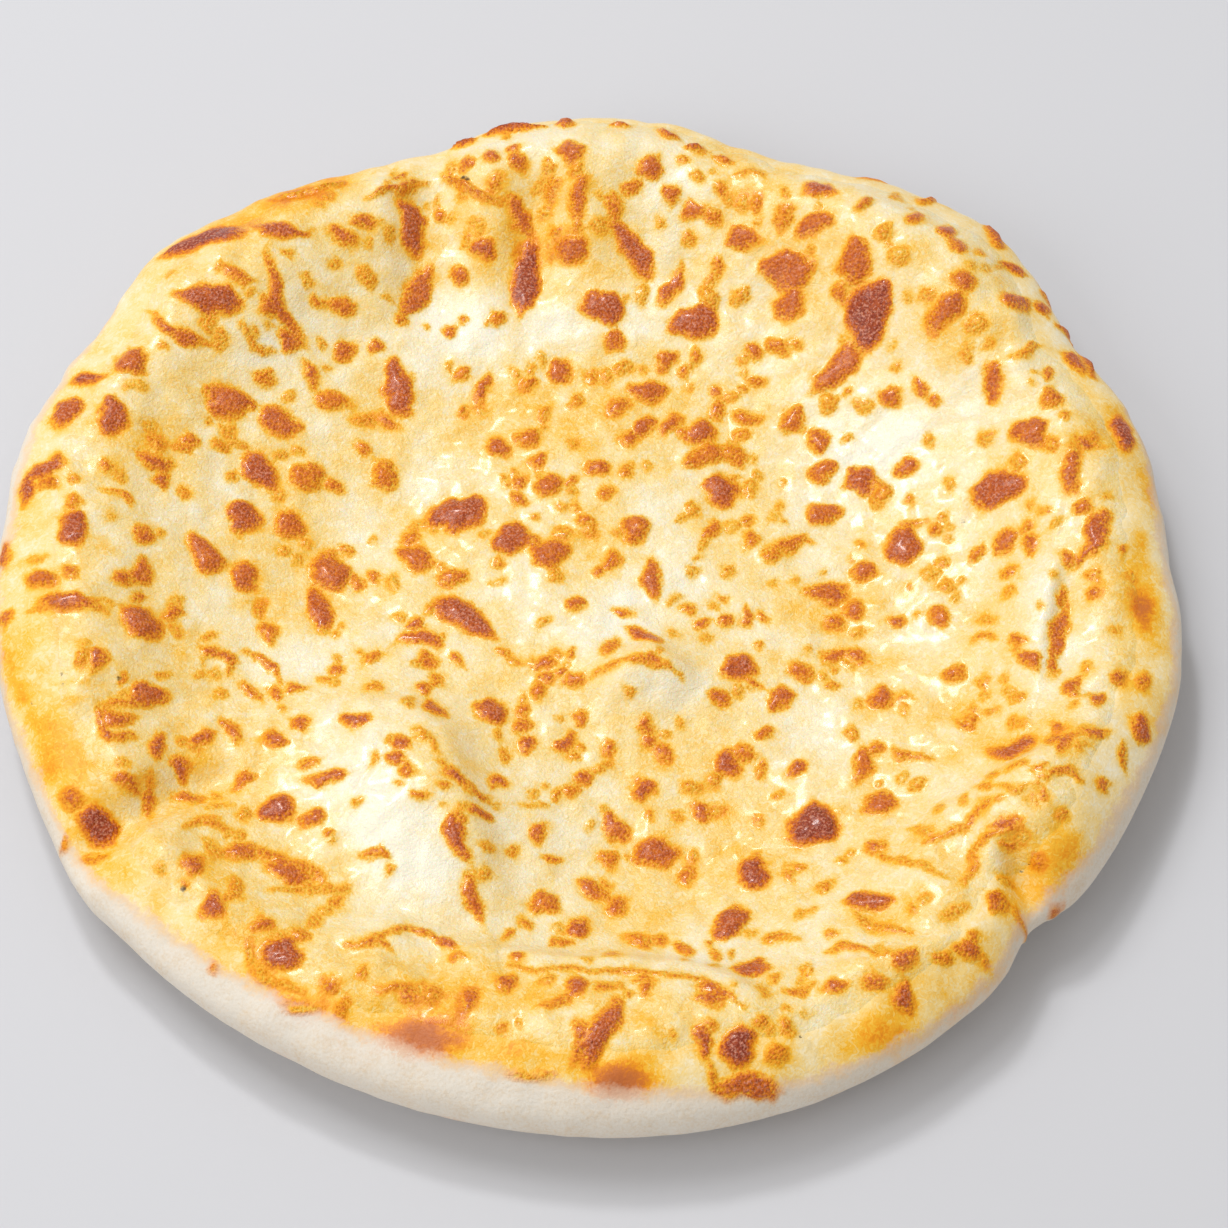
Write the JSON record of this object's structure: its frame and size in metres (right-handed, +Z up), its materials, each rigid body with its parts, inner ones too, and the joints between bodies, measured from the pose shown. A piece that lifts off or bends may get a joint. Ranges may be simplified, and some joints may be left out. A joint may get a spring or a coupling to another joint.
{
  "type": "khachapuri cheese bread",
  "caption": "Round flat bread with a thick rolled rim and soft waves, its top covered with melted, browned, blistered cheese.",
  "frame": {"origin": "on the surface the bread rests on, under the middle of its outline", "axes": "+Z up, +Y away from the viewer, +X to the viewer's right"},
  "size_m": [0.295, 0.2912, 0.0327],
  "materials": {
    "baked_dough": "baked wheat dough: dry and matt, dusted white with flour at the rim and under it, egg-washed gold beside the cheese",
    "browned_cheese": "melted white cheese: soft oily gloss, cream to yellow, with raised brown blisters and small bubbles"
  },
  "bodies": {
    "root": {"bread": "baked_dough", "cheese": "browned_cheese"}
  },
  "joints": []
}
